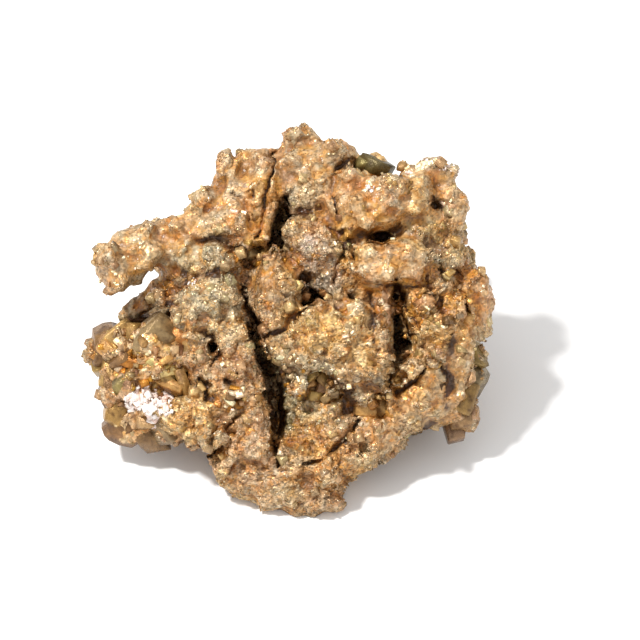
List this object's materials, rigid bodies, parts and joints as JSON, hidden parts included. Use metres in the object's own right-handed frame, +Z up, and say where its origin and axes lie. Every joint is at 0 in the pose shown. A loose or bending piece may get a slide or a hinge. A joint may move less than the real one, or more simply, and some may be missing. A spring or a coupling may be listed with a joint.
{
  "type": "pyrite specimen",
  "caption": "Cluster of stalactitic pyrite: lumpy golden rods and blocky crystals on a flat broken foot, with deep narrow gaps between the rods.",
  "frame": {"origin": "on the flat resting face, under the middle of the display side", "axes": "+X across the display side, to the viewer's right; +Z up from the resting face; the display side faces up and towards -Y"},
  "size_m": [0.0833, 0.0707, 0.0536],
  "materials": {
    "tarnished_pyrite": "natural pyrite, sparkling, with a brown rust film"
  },
  "bodies": {
    "root": {"pyrite_specimen": "tarnished_pyrite"}
  },
  "joints": []
}
